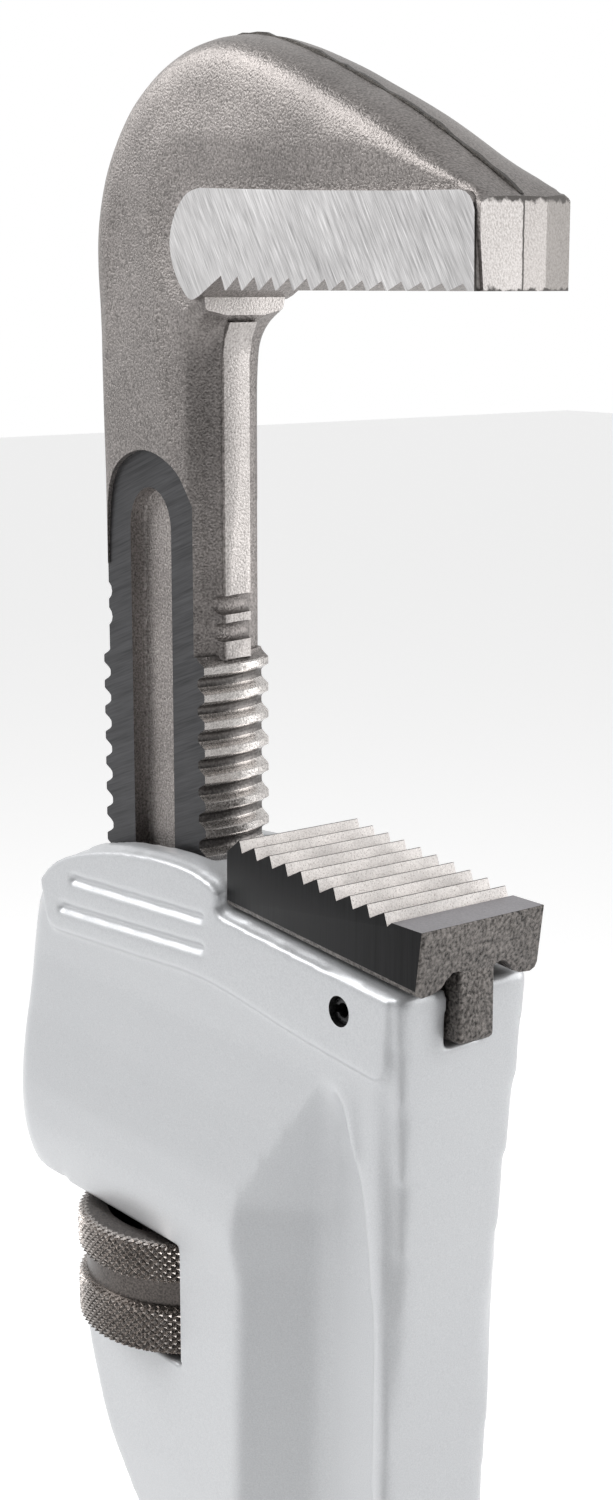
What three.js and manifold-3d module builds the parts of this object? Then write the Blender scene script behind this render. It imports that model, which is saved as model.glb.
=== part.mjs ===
// Pipe wrench, 24 inch size, cast aluminium handle. Millimetres, +Z up along the hook jaw's shank,
// +X towards the jaw opening. The head is drawn in its own frame, with the axis of the shank and
// the adjusting nut on X = 0, Y = 0, and the whole tool is then set on its handle end.
import * as THREE from 'three';
import * as BufferGeometryUtils from 'three/addons/utils/BufferGeometryUtils.js';
import Module from 'manifold-3d';

const wasm = await Module();
wasm.setup();

// Driving dimensions
const TOTAL_LENGTH = 610;           // hook top to handle end, jaws fully open
const GAP = 0.3;                    // between pieces that touch

const hook = {
  top: 136.6, rear: -16, tipX: 88.6, tipTop: 108, teethZ: 95.3, firstRoot: 26, toothPitch: 4.58,
  teeth: 14, toothDepth: 2.2, toothSteep: 0.9, toothLong: 3.3, headHalf: 9.9, headBottom: 89.5,
  neckHalf: 8, neckBottom: 56, front: 13.7,
};
const thread = { pitch: 4.89, rootR: 15.7, crestR: 17.6, flatHalf: 7.2, crestFront: 30, top: 38, bottom: -101 };
const nut = { outerR: 21.8, boreR: 16.1, grooveR: 17.95, top: -76.6, bottom: -98.5, groove: [-84.3, -89] };
const heel = {
  half: 13, rear: 30.5, front: 81.9, teethX: 34.2, toothPitch: 4.26, teeth: 10, topZ: 3.6, slope: -0.103,
  toothDepth: 2, toothSteep: 0.9, landLength: 6, landDrop: 0.3, seatZ: -9, seatSlope: -0.085,
  stemHalf: 3.6, stemBottom: -22.4, stemFront: 80.4,
};
const pin = { x: 63.1, z: -18.8, r: 2.3, bore: 1.2, half: 12.4 };
const housing = { half: 14.2, rear: -44.6, mouthHalf: 8.7, mouthFront: 21.2, mouthRear: -22, slotHalf: 4 };
const nutWindow = { radius: 23.2, top: -75.7, bottom: -99.4 };
const channel = { half: 8.7, front: 18.8, bottom: -230 };
const beam = { end: hook.top - TOTAL_LENGTH, webHalf: 3.6, half: 10 };
const taper = { split: 33, frontShoulder: 11.8, rearShoulder: 15.2, frontLow: -75, rearLow: -190 };
const hang = { x: 37.5, up: 26, halfWidth: 7.5, halfLength: 13 };
const coil = { z: -38, r: 4.6, wire: 0.9, turns: 5, pocketEnd: 36 };
const strip = { thick: 1.2, half: 5.5, top: -14, bottom: -70, rear: 18 };

// Solids ------------------------------------------------------------------------------------

function solid(geometry) {
  const bare = geometry.clone();
  bare.deleteAttribute('normal');
  bare.deleteAttribute('uv');
  const merged = BufferGeometryUtils.mergeVertices(bare, 1e-4);
  const vertProperties = new Float32Array(merged.attributes.position.array);
  const triVerts = new Uint32Array(merged.index.array);
  return new wasm.Manifold(new wasm.Mesh({ numProp: 3, vertProperties, triVerts }));
}

function geometryOf(body) {
  const mesh = body.getMesh();
  const geometry = new THREE.BufferGeometry();
  geometry.setAttribute('position', new THREE.BufferAttribute(mesh.vertProperties, 3));
  geometry.setIndex(new THREE.BufferAttribute(mesh.triVerts, 1));
  return geometry;
}

// A closed outline in X and Z, extruded from -half to +half in Y.
function sidePrism(points, half) {
  const shape = new THREE.Shape(points.map(([x, z]) => new THREE.Vector2(x, z)));
  const geometry = new THREE.ExtrudeGeometry(shape, { depth: 2 * half, bevelEnabled: false, steps: 1 });
  return solid(geometry.rotateX(Math.PI / 2).translate(0, half, 0));
}

// A closed outline in Y and Z, extruded from x0 to x1.
function frontPrism(points, x0, x1) {
  const shape = new THREE.Shape(points.map(([y, z]) => new THREE.Vector2(y, z)));
  const geometry = new THREE.ExtrudeGeometry(shape, { depth: x1 - x0, bevelEnabled: false, steps: 1 });
  const turn = new THREE.Matrix4().makeBasis(
    new THREE.Vector3(0, 1, 0), new THREE.Vector3(0, 0, 1), new THREE.Vector3(1, 0, 0));
  return solid(geometry.applyMatrix4(turn).translate(x0, 0, 0));
}

function block(x0, x1, half, z0, z1) {
  const geometry = new THREE.BoxGeometry(x1 - x0, 2 * half, z1 - z0);
  return solid(geometry.translate((x0 + x1) / 2, 0, (z0 + z1) / 2));
}

function drumZ(radius, z0, z1, segments = 48) {
  const geometry = new THREE.CylinderGeometry(radius, radius, z1 - z0, segments);
  return solid(geometry.rotateX(Math.PI / 2).translate(0, 0, (z0 + z1) / 2));
}

function drumX(radius, x0, x1, z, segments = 24) {
  const geometry = new THREE.CylinderGeometry(radius, radius, x1 - x0, segments);
  return solid(geometry.rotateZ(Math.PI / 2).translate((x0 + x1) / 2, 0, z));
}

function drumY(radius, half, x, z, segments = 24) {
  return solid(new THREE.CylinderGeometry(radius, radius, 2 * half, segments).translate(x, 0, z));
}

function smooth(points, steps) {
  const curve = new THREE.SplineCurve(points.map(([x, z]) => new THREE.Vector2(x, z)));
  return curve.getPoints(steps).map((p) => [p.x, p.y]);
}

// A right-hand helical ridge about Z with a trapezoid section. The crest crosses +X at z = start.
function helicalRidge({ innerR, outerR, innerWidth, outerWidth, start, turns, segments }) {
  const positions = [];
  const index = [];
  const count = Math.round(turns * segments);
  for (let i = 0; i <= count; i += 1) {
    const angle = (i / segments) * 2 * Math.PI;
    const z = start + (i / segments) * thread.pitch;
    const corners = [[innerR, -innerWidth], [outerR, -outerWidth], [outerR, outerWidth], [innerR, innerWidth]];
    for (const [r, w] of corners) positions.push(r * Math.cos(angle), r * Math.sin(angle), z + w / 2);
  }
  for (let i = 0; i < count; i += 1) {
    for (let j = 0; j < 4; j += 1) {
      const a = 4 * i + j;
      const b = 4 * i + ((j + 1) % 4);
      index.push(a, b, b + 4, a, b + 4, a + 4);
    }
  }
  const last = 4 * count;
  index.push(0, 2, 1, 0, 3, 2, last, last + 1, last + 2, last, last + 2, last + 3);
  for (let i = 0; i < index.length; i += 3) [index[i + 1], index[i + 2]] = [index[i + 2], index[i + 1]];
  const geometry = new THREE.BufferGeometry();
  geometry.setAttribute('position', new THREE.Float32BufferAttribute(positions, 3));
  geometry.setIndex(index);
  return solid(geometry);
}

// Hook jaw: forged head, plain neck, milled flats and a thread on the front and rear of the shank.
function hookJaw() {
  const back = smooth([[hook.rear + 0.8, hook.headBottom], [hook.rear, 96], [-13.4, 112.6], [-4.4, 126.7],
    [8.2, 134.2], [22, hook.top]], 16);
  const arm = smooth([[31.8, 135.1], [51.7, 127.9], [75.6, 116.4], [hook.tipX - 2, 109.6]], 6);
  const teeth = [];
  for (let i = hook.teeth - 1; i >= 0; i -= 1) {
    const x = hook.firstRoot + hook.toothPitch * i;
    teeth.push([x + hook.toothSteep, hook.teethZ], [x, hook.teethZ + hook.toothDepth],
      [x - hook.toothLong, hook.teethZ]);
  }
  const pad = [[22.7, 91.6], [15.6, 91.2], [hook.front + 0.2, hook.headBottom]];
  const head = sidePrism([...back, ...arm, [hook.tipX, hook.tipTop], [hook.tipX, hook.teethZ], ...teeth, ...pad],
    hook.headHalf);
  const neck = block(hook.rear + 0.8, hook.front, hook.neckHalf, hook.neckBottom, 92);
  const flats = block(hook.rear + 0.8, hook.front, thread.flatHalf, thread.top - 2, 60);
  const core = drumZ(thread.rootR, thread.bottom, thread.top, 40);
  const below = Math.ceil((thread.crestFront - thread.bottom) / thread.pitch) + 1;
  const turns = below + 1;
  const ridge = helicalRidge({ innerR: thread.rootR - 1, outerR: thread.crestR, innerWidth: 3.3,
    outerWidth: 1.3, start: thread.crestFront - below * thread.pitch, turns, segments: 24 });
  const slab = block(-20, 20, thread.flatHalf, thread.bottom, thread.top);
  return head.add(neck).add(flats).add(core.add(ridge).intersect(slab));
}

function adjustingNut() {
  const body = drumZ(nut.outerR, nut.bottom, nut.top, 48);
  const ring = drumZ(nut.outerR + 3, nut.groove[1], nut.groove[0], 48);
  const ringCore = drumZ(nut.outerR - 1.6, nut.groove[1] - 1, nut.groove[0] + 1, 48);
  const bore = drumZ(nut.boreR, nut.bottom - 2, nut.top + 2, 36);
  const below = Math.ceil((thread.crestFront - nut.bottom) / thread.pitch) + 1;
  const start = thread.crestFront - below * thread.pitch;
  const groove = helicalRidge({ innerR: nut.boreR - 2, outerR: nut.grooveR, innerWidth: 4.5, outerWidth: 2,
    start, turns: 8, segments: 24 });
  return body.subtract(ring.subtract(ringCore)).subtract(bore).subtract(groove);
}

// Heel jaw: toothed block on a tee stem that slides into the front of the housing.
function heelTop(x) {
  return heel.topZ + heel.slope * (x - heel.teethX);
}

function heelSeat(x) {
  return heel.seatZ + heel.seatSlope * (x - heel.rear);
}

function heelJaw() {
  const teeth = [];
  for (let j = 0; j < heel.teeth; j += 1) {
    const x = heel.teethX + heel.toothPitch * j;
    teeth.push([x, heelTop(x)], [x + heel.toothSteep, heelTop(x) - heel.toothDepth]);
  }
  const land = heelTop(heel.front) - heel.landDrop;
  const outline = [[heel.rear, heelSeat(heel.rear)], [heel.rear + 0.8, heelTop(heel.rear) - 1.6], ...teeth,
    [heel.front - heel.landLength, land], [heel.front, land], [heel.front - 0.8, heelSeat(heel.front)]];
  const toothed = sidePrism(outline, heel.half);
  const stem = block(heel.rear + 1, heel.stemFront, heel.stemHalf, heel.stemBottom, heelSeat(heel.front) + 1);
  return toothed.add(stem).subtract(drumY(pin.r + GAP, 20, pin.x, pin.z));
}

// Slotted spring pin through the housing and the stem of the heel jaw.
function heelJawPin() {
  const slot = block(pin.x - 6, pin.x, pin.half + 2, pin.z - 0.35, pin.z + 0.35);
  return drumY(pin.r, pin.half, pin.x, pin.z).subtract(drumY(pin.bore, pin.half + 1, pin.x, pin.z)).subtract(slot);
}

// Handle: one casting, the housing at the top running into an I-section beam with a hang hole.
function handleOutline() {
  const rear = smooth([[-14.5, -7.4], [-30.8, -12.6], [-38, -20], [-41.5, -40], [housing.rear, -62], [-42.5, -76],
    [-34, nutWindow.top - 6.5]], 18);
  const rim = smooth([[30.2, -6.2], [25.3, -3.6], [11, -3], [-2.6, -4.4]], 6);
  const throat = [[-15.5, -102], [-11.5, -113], [-3, -130], [8, -150], [17, -172], [19.5, -190]];
  return [
    ...rim, ...rear, [-26, nutWindow.top - 6.5], [-17, -98], ...smooth(throat, 10), [20, beam.end + 34],
    [18.5, beam.end + 16], [22, beam.end + 5], [30, beam.end], [48, beam.end], [55, beam.end + 5],
    [57, beam.end + 20], [71, -140], [75, -60], [77.5, -20], [77.7, heelSeat(77.7) - GAP],
    [heel.rear - 2, heelSeat(heel.rear - 2) - GAP],
  ];
}

function pocketOutline() {
  const top = smooth([[63.5, -40], [58, -34], [51.5, -38], [44, -50], [36.5, -62], [35.5, -75]], 12);
  return [[69, -75], ...top, [33, -150], [28.5, -200], [27, beam.end + 62], [32, beam.end + 52],
    [45, beam.end + 52], [50.5, beam.end + 62], [66, -150]];
}

function hangHole() {
  const points = [];
  for (let i = 0; i < 24; i += 1) {
    const a = (i / 24) * 2 * Math.PI;
    const shift = Math.sin(a) > 0 ? hang.halfLength - hang.halfWidth : hang.halfWidth - hang.halfLength;
    points.push([hang.x + hang.halfWidth * Math.cos(a),
      beam.end + hang.up + shift + hang.halfWidth * Math.sin(a)]);
  }
  return sidePrism(points, 30);
}

// The flanges narrow from the housing to the beam, and the front edge narrows first.
function frontTaper() {
  const points = [[-housing.half, 10], [-housing.half, -12], [-taper.frontShoulder, -45],
    [-beam.half, taper.frontLow], [-beam.half, beam.end - 5], [beam.half, beam.end - 5],
    [beam.half, taper.frontLow], [taper.frontShoulder, -45], [housing.half, -12], [housing.half, 10]];
  return frontPrism(points, taper.split, 95);
}

function rearTaper() {
  const points = [[-housing.half, 10], [-taper.rearShoulder, -50], [-taper.rearShoulder, -118],
    [-beam.half, taper.rearLow], [-beam.half, beam.end - 5], [beam.half, beam.end - 5],
    [beam.half, taper.rearLow], [taper.rearShoulder, -118], [taper.rearShoulder, -50], [housing.half, 10]];
  return frontPrism(points, -60, taper.split + 0.5);
}

function handle() {
  let body = sidePrism(handleOutline(), 16).intersect(frontTaper().add(rearTaper()));
  const pocket = sidePrism(pocketOutline(), 30).subtract(block(0, 100, beam.webHalf, -500, 0));
  body = body.subtract(pocket).subtract(hangHole());
  const mouth = sidePrism([[housing.mouthRear, 5], [housing.mouthRear, -20], [-31, -45], [-31, -90],
    [housing.mouthFront, -90], [housing.mouthFront, 5]], housing.mouthHalf);
  const nutRoom = drumZ(nutWindow.radius, nutWindow.bottom, nutWindow.top, 48)
    .add(block(-60, 0, 30, nutWindow.bottom, nutWindow.top));
  const tail = block(-60, channel.front, channel.half, channel.bottom, nutWindow.bottom + 1);
  const slot = block(heel.rear - 2, 90, housing.slotHalf, heel.stemBottom - 1, 20);
  const pinHole = drumY(pin.r + GAP, 30, pin.x, pin.z);
  const coilPocket = drumX(coil.r + 1, 10, coil.pocketEnd, coil.z);
  const stripRoom = block(10, strip.rear + strip.thick + 4.6, strip.half + 0.7, strip.bottom - 3, strip.top + 6);
  return body.subtract(mouth).subtract(nutRoom).subtract(tail).subtract(slot).subtract(pinHole)
    .subtract(coilPocket).subtract(stripRoom);
}

// Coil spring in a blind pocket in front of the shank, pressing a flat strip against it.
function coilSpring() {
  const section = new THREE.Shape();
  section.absarc(0, 0, coil.wire, 0, 2 * Math.PI);
  const x0 = strip.rear + strip.thick + coil.wire + GAP;
  const length = coil.pocketEnd - coil.wire - GAP - x0;
  const points = [];
  for (let i = 0; i <= coil.turns * 16; i += 1) {
    const a = (i / 16) * 2 * Math.PI;
    points.push(new THREE.Vector3(x0 + (length * i) / (coil.turns * 16), (coil.r - coil.wire) * Math.cos(a),
      coil.z + (coil.r - coil.wire) * Math.sin(a)));
  }
  const path = new THREE.CatmullRomCurve3(points);
  return solid(new THREE.ExtrudeGeometry(section, { extrudePath: path, steps: coil.turns * 16, curveSegments: 4 }));
}

function flatSpring() {
  const x = strip.rear;
  const outline = smooth([[x + 1, strip.top], [x, strip.top - 5], [x, coil.z], [x, strip.bottom + 5],
    [x + 1, strip.bottom]], 12);
  const far = outline.map(([px, pz]) => [px + strip.thick, pz]).reverse();
  return sidePrism([...outline, ...far], strip.half).subtract(drumX(1.3 + GAP, 0, 40, coil.z, 20));
}

function springRivet() {
  const x = strip.rear;
  return drumX(1.3, x + 0.1, x + strip.thick + 2.4, coil.z, 20)
    .add(drumX(2.3, x + strip.thick + GAP, x + strip.thick + 1.3, coil.z, 20));
}

// Assembly ----------------------------------------------------------------------------------

const steel = { color: 0x7d7771, roughness: 0.55, metalness: 0.9 };
const parts = [
  ['handle', handle, { color: 0xd0d2d4, roughness: 0.45, metalness: 0.3 }],
  ['hook_jaw', hookJaw, steel],
  ['heel_jaw', heelJaw, { color: 0x2e2e30, roughness: 0.5, metalness: 0.8 }],
  ['heel_jaw_pin', heelJawPin, { color: 0x1e1e20, roughness: 0.45, metalness: 0.9 }],
  ['adjusting_nut', adjustingNut, { color: 0x3a3632, roughness: 0.5, metalness: 0.9 }],
  ['flat_spring', flatSpring, { color: 0x45474c, roughness: 0.4, metalness: 0.9 }],
  ['coil_spring', coilSpring, { color: 0x6b6d70, roughness: 0.35, metalness: 0.9 }],
  ['spring_rivet', springRivet, { color: 0x8c8c8c, roughness: 0.35, metalness: 0.9 }],
];

const wrench = new THREE.Group();
for (const [name, build, finish] of parts) {
  const mesh = new THREE.Mesh(geometryOf(build()), new THREE.MeshStandardMaterial(finish));
  mesh.name = name;
  wrench.add(mesh);
}
wrench.position.set(-(housing.rear + hook.tipX) / 2, 0, -beam.end);

export default wrench;
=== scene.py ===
import math

import bpy
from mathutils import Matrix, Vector


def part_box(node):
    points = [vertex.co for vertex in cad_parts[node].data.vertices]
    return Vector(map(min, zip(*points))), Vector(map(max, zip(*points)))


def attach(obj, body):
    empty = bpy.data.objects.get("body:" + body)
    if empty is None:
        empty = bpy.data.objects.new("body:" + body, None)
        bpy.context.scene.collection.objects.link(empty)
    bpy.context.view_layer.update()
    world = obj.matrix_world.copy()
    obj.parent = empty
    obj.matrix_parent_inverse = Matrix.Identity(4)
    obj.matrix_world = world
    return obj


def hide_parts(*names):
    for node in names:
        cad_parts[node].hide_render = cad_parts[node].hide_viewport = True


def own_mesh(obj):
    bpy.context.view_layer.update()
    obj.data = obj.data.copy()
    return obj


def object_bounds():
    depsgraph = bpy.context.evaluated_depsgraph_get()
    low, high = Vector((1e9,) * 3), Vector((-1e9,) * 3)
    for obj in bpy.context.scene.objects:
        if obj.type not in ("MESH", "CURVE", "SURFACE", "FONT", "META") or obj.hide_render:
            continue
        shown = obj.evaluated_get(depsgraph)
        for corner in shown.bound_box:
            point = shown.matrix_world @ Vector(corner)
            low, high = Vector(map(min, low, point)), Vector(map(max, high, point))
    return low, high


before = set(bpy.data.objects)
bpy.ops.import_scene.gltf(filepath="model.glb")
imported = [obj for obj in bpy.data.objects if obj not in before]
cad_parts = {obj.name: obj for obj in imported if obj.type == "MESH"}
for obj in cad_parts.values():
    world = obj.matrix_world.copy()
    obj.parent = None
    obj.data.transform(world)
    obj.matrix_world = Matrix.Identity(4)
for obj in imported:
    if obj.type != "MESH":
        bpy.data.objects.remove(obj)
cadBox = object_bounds()
print("frame loaded")

mm = 0.001

# the head's own zero point: on the axis of shank and nut, 136.6 mm under the top of the hook
nutLow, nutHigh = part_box("adjusting_nut")
hookLow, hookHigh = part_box("hook_jaw")
handleLow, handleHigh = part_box("handle")
headZero = Vector(((nutLow.x + nutHigh.x) / 2, 0, hookHigh.z - 136.6 * mm))
handleEnd = (handleLow.z - headZero.z) / mm


def at(x, y, z):  # millimetres from the head's zero point, as a place in the frame
    return headZero + Vector((x, y, z)) * mm


# small modelling helpers

def deselectAll():
    bpy.ops.object.select_all(action="DESELECT")


def activate(piece):
    deselectAll()
    piece.select_set(True)
    bpy.context.view_layer.objects.active = piece


def startEdit(piece, mode="FACE"):
    activate(piece)
    bpy.ops.object.mode_set(mode="EDIT")
    bpy.ops.mesh.select_mode(type=mode)
    bpy.ops.mesh.select_all(action="DESELECT")


def endEdit():
    bpy.ops.object.mode_set(mode="OBJECT")


def pick(piece, kind, test):  # selects faces, edges or vertices by their place, from inside edit mode
    bpy.ops.object.mode_set(mode="OBJECT")
    mesh = piece.data
    if kind == "FACE":
        for face in mesh.polygons:
            face.select = test(face.center - headZero, face.normal)
    if kind == "VERT":
        for vert in mesh.vertices:
            vert.select = test(vert.co - headZero, vert.normal)
    if kind == "EDGE":
        for edge in mesh.edges:
            a, b = (mesh.vertices[i].co - headZero for i in edge.vertices)
            edge.select = test(a, b)
    bpy.ops.object.mode_set(mode="EDIT")


def settle(piece, name):  # the finished piece keeps its place in its mesh
    activate(piece)
    bpy.ops.object.transform_apply(location=True, rotation=True, scale=True)
    piece.name = name
    piece.data.name = name
    return piece


def drawFace(name, points):  # an outline drawn point by point, then filled
    deselectAll()
    bpy.ops.mesh.primitive_plane_add(size=mm, location=points[0])
    piece = bpy.context.object
    bpy.ops.object.mode_set(mode="EDIT")
    bpy.ops.mesh.select_mode(type="VERT")
    bpy.ops.mesh.select_all(action="SELECT")
    bpy.ops.mesh.merge(type="CENTER")
    for before, after in zip(points, points[1:]):
        bpy.ops.mesh.extrude_region_move(TRANSFORM_OT_translate={"value": after - before})
    bpy.ops.mesh.select_all(action="SELECT")
    bpy.ops.mesh.edge_face_add()
    endEdit()
    return settle(piece, name)


def closeUp(piece):
    startEdit(piece)
    bpy.ops.mesh.select_all(action="SELECT")
    bpy.ops.mesh.normals_make_consistent(inside=False)
    endEdit()
    return piece


def plate(name, outline, low, high):  # outline in x and z, thick from y = low to y = high
    piece = drawFace(name, [at(x, low, z) for x, z in outline])
    startEdit(piece)
    bpy.ops.mesh.select_all(action="SELECT")
    bpy.ops.mesh.extrude_region_move(TRANSFORM_OT_translate={"value": (0, (high - low) * mm, 0)})
    endEdit()
    return closeUp(piece)


def loft(name, rings):  # outlines with the same number of points, joined one to the next
    pieces = [drawFace(name, ring) for ring in rings]
    count = len(rings[0])
    deselectAll()
    for piece in pieces:
        piece.select_set(True)
    bpy.context.view_layer.objects.active = pieces[0]
    bpy.ops.object.join()
    body = pieces[0]
    startEdit(body)
    bpy.ops.object.mode_set(mode="OBJECT")
    for face in body.data.polygons:
        face.select = 0 < face.index < len(rings) - 1
    bpy.ops.object.mode_set(mode="EDIT")
    bpy.ops.mesh.delete(type="ONLY_FACE")
    bpy.ops.mesh.select_mode(type="EDGE")
    for k in range(len(rings) - 1):
        bpy.ops.mesh.select_all(action="DESELECT")
        bpy.ops.object.mode_set(mode="OBJECT")
        for edge in body.data.edges:
            a, b = (i // count for i in edge.vertices)
            edge.select = a == b and a in (k, k + 1)
        bpy.ops.object.mode_set(mode="EDIT")
        bpy.ops.mesh.bridge_edge_loops()
    endEdit()
    return closeUp(body)


def bar(name, section, low, high, slope=0):  # section in y and z, long from x = low to x = high
    piece = drawFace(name, [at(low, y, z + slope * low) for y, z in section])
    startEdit(piece)
    bpy.ops.mesh.select_all(action="SELECT")
    run = high - low
    bpy.ops.mesh.extrude_region_move(TRANSFORM_OT_translate={"value": (run * mm, 0, run * slope * mm)})
    endEdit()
    return closeUp(piece)


def column(name, section, low, high):  # section in x and y, tall from z = low to z = high
    piece = drawFace(name, [at(x, y, low) for x, y in section])
    startEdit(piece)
    bpy.ops.mesh.select_all(action="SELECT")
    bpy.ops.mesh.extrude_region_move(TRANSFORM_OT_translate={"value": (0, 0, (high - low) * mm)})
    endEdit()
    return closeUp(piece)


def block(name, low, high):
    centre = (Vector(low) + Vector(high)) / 2
    size = Vector(high) - Vector(low)
    deselectAll()
    bpy.ops.mesh.primitive_cube_add(size=1, location=at(*centre), scale=size * mm)
    return settle(bpy.context.object, name)


def drum(name, radius, low, high, axis="Z", centre=(0, 0), sides=64):
    middle, depth = (low + high) / 2, high - low
    spots = {"X": (middle, centre[0], centre[1]), "Y": (centre[0], middle, centre[1]),
             "Z": (centre[0], centre[1], middle)}
    turns = {"X": (0, math.pi / 2, 0), "Y": (math.pi / 2, 0, 0), "Z": (0, 0, 0)}
    deselectAll()
    bpy.ops.mesh.primitive_cylinder_add(vertices=sides, radius=radius * mm, depth=depth * mm,
                                        location=at(*spots[axis]), rotation=turns[axis])
    return settle(bpy.context.object, name)


def useModifier(piece, kind, **settings):
    activate(piece)
    modifier = piece.modifiers.new(kind.title(), kind)
    for key, value in settings.items():
        setattr(modifier, key, value)
    bpy.ops.object.modifier_apply(modifier=modifier.name)
    return piece


def combine(piece, tools, operation):
    batch = bpy.data.collections.new("tools")
    for tool in tools:
        batch.objects.link(tool)
    useModifier(piece, "BOOLEAN", operation=operation, operand_type="COLLECTION", collection=batch,
                solver="MANIFOLD")
    for tool in tools:
        bpy.data.objects.remove(tool)
    bpy.data.collections.remove(batch)
    return piece


def mirrored(piece):  # the same again on the other side of the tool's middle plane
    activate(piece)
    bpy.ops.object.duplicate()
    twin = bpy.context.object
    bpy.ops.transform.resize(value=(1, -1, 1), center_override=(0, 0, 0))
    bpy.ops.object.transform_apply(location=True, rotation=True, scale=True)
    closeUp(twin)
    return [piece, twin]


def soften(piece, voxel, rounds):  # one skin with rounded edges, as a casting or forging has
    useModifier(piece, "REMESH", mode="VOXEL", voxel_size=voxel * mm)
    return useModifier(piece, "SMOOTH", factor=0.5, iterations=rounds)


def thin(piece, triangles):
    faces = sum(len(face.vertices) - 2 for face in piece.data.polygons)
    if faces > triangles:
        useModifier(piece, "DECIMATE", ratio=triangles / faces)
    return piece


def shadeSmooth(piece, degrees):
    activate(piece)
    bpy.ops.object.shade_smooth_by_angle(angle=math.radians(degrees))


def through(points, steps):  # a smooth line through a few points
    line = []
    ends = [points[0]] + list(points) + [points[-1]]
    for i in range(1, len(ends) - 2):
        p = [Vector((*q, 0)) for q in ends[i - 1:i + 3]]
        for k in range(steps):
            t = k / steps
            spot = 0.5 * (2 * p[1] + (p[2] - p[0]) * t + (2 * p[0] - 5 * p[1] + 4 * p[2] - p[3]) * t * t
                          + (3 * p[1] - p[0] - 3 * p[2] + p[3]) * t ** 3)
            line.append((spot.x, spot.y))
    return line + [tuple(points[-1])]


def arc(cx, cz, radius, start, end, steps):
    angles = [math.radians(start + (end - start) * k / steps) for k in range(steps + 1)]
    return [(cx + radius * math.cos(a), cz + radius * math.sin(a)) for a in angles]


def helix(name, profile, pitch, start, turns, sides):  # a profile in y and z, screwed round the axis
    piece = drawFace(name, [at(0, y, z + start) for y, z in profile])
    startEdit(piece)
    bpy.ops.mesh.select_all(action="SELECT")
    bpy.ops.mesh.delete(type="ONLY_FACE")
    endEdit()
    bpy.context.scene.cursor.location = headZero
    activate(piece)
    bpy.ops.object.origin_set(type="ORIGIN_CURSOR")
    useModifier(piece, "SCREW", angle=2 * math.pi, screw_offset=pitch * mm, iterations=turns,
                steps=sides, render_steps=sides, axis="Z")
    settle(piece, name)
    startEdit(piece, "VERT")
    bpy.ops.mesh.select_all(action="SELECT")
    bpy.ops.mesh.remove_doubles(threshold=0.01 * mm)
    bpy.ops.mesh.select_all(action="DESELECT")
    bpy.ops.mesh.select_non_manifold()
    bpy.ops.mesh.edge_face_add()
    endEdit()
    return closeUp(piece)


def dress(piece, *materials):
    piece.data.materials.clear()
    for material in materials:
        piece.data.materials.append(material)


def coat(piece, material, test):  # gives a finish to the faces that the test picks
    slot = piece.data.materials.find(material.name)
    for face in piece.data.polygons:
        if test((face.center - headZero) / mm, face.normal):
            face.material_index = slot


# materials

def newMaterial(name):
    material = bpy.data.materials.new(name)
    material.use_nodes = True
    return material, material.node_tree.nodes, material.node_tree.links


def noise(nodes, links, scale, detail=4, stretch=None, turn=None):
    texture = nodes.new("ShaderNodeTexNoise")
    texture.inputs["Scale"].default_value = scale
    texture.inputs["Detail"].default_value = detail
    mapping = nodes.new("ShaderNodeMapping")
    mapping.vector_type = "TEXTURE"  # turned first and stretched afterwards
    mapping.inputs["Scale"].default_value = stretch or (1, 1, 1)
    mapping.inputs["Rotation"].default_value = turn or (0, 0, 0)
    coords = nodes.new("ShaderNodeTexCoord")
    links.new(coords.outputs["Object"], mapping.inputs["Vector"])
    links.new(mapping.outputs["Vector"], texture.inputs["Vector"])
    return texture


def ramp(nodes, links, source, stops):
    node = nodes.new("ShaderNodeValToRGB")
    while len(node.color_ramp.elements) < len(stops):
        node.color_ramp.elements.new(0.5)
    for element, (place, colour) in zip(node.color_ramp.elements, stops):
        element.position = place
        element.color = (*colour, 1) if len(colour) == 3 else colour
    links.new(source, node.inputs["Fac"])
    return node


def blendColour(nodes, links, factor, first, second, kind="MIX"):
    node = nodes.new("ShaderNodeMix")
    node.data_type = "RGBA"
    node.blend_type = kind
    if isinstance(factor, float):
        node.inputs["Factor"].default_value = factor
    else:
        links.new(factor, node.inputs["Factor"])
    for socket, value in ((node.inputs[6], first), (node.inputs[7], second)):
        if isinstance(value, tuple):
            socket.default_value = (*value, 1)
        else:
            links.new(value, socket)
    return node.outputs[2]


def spread(nodes, links, source, low, high, fromLow=0.3, fromHigh=0.7):
    node = nodes.new("ShaderNodeMapRange")
    node.inputs["From Min"].default_value = fromLow
    node.inputs["From Max"].default_value = fromHigh
    node.inputs["To Min"].default_value = low
    node.inputs["To Max"].default_value = high
    links.new(source, node.inputs["Value"])
    return node.outputs["Result"]


def addBump(nodes, links, shader, source, depth, strength=1.0, before=None):
    node = nodes.new("ShaderNodeBump")
    node.inputs["Strength"].default_value = strength
    node.inputs["Distance"].default_value = depth
    links.new(source, node.inputs["Height"])
    if before:
        links.new(before, node.inputs["Normal"])
    links.new(node.outputs["Normal"], shader.inputs["Normal"])
    return node.outputs["Normal"]


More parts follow.
